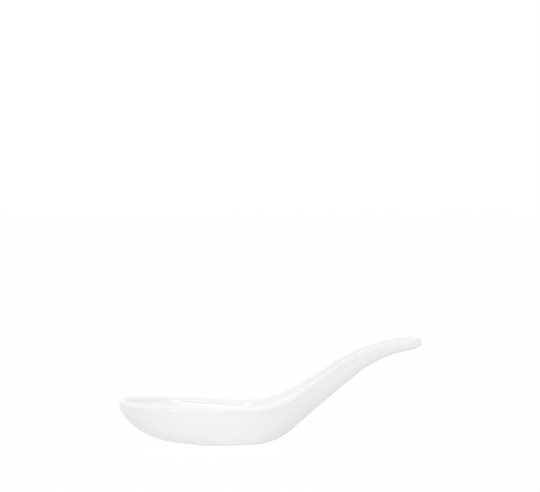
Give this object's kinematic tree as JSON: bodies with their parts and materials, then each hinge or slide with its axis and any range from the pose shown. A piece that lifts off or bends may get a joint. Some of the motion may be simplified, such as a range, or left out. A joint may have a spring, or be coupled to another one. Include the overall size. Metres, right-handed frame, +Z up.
{
  "type": "chinese soup spoon",
  "caption": "White glazed porcelain soup spoon with a deep flat-footed bowl and a grooved handle that sweeps up and over at its end.",
  "frame": {"origin": "middle of the bare foot, on the table plane", "axes": "+X runs from the bowl's tip to the handle's end, +Z is up, the spoon is mirrored across the XZ plane"},
  "size_m": [0.1404, 0.0454, 0.0473],
  "materials": {
    "porcelain": "matt fired porcelain, seen bare only on the foot",
    "glaze": "smooth clear gloss glaze over white porcelain"
  },
  "bodies": {
    "root": {"porcelain_body": "porcelain", "glaze_coat": "glaze"}
  },
  "joints": []
}
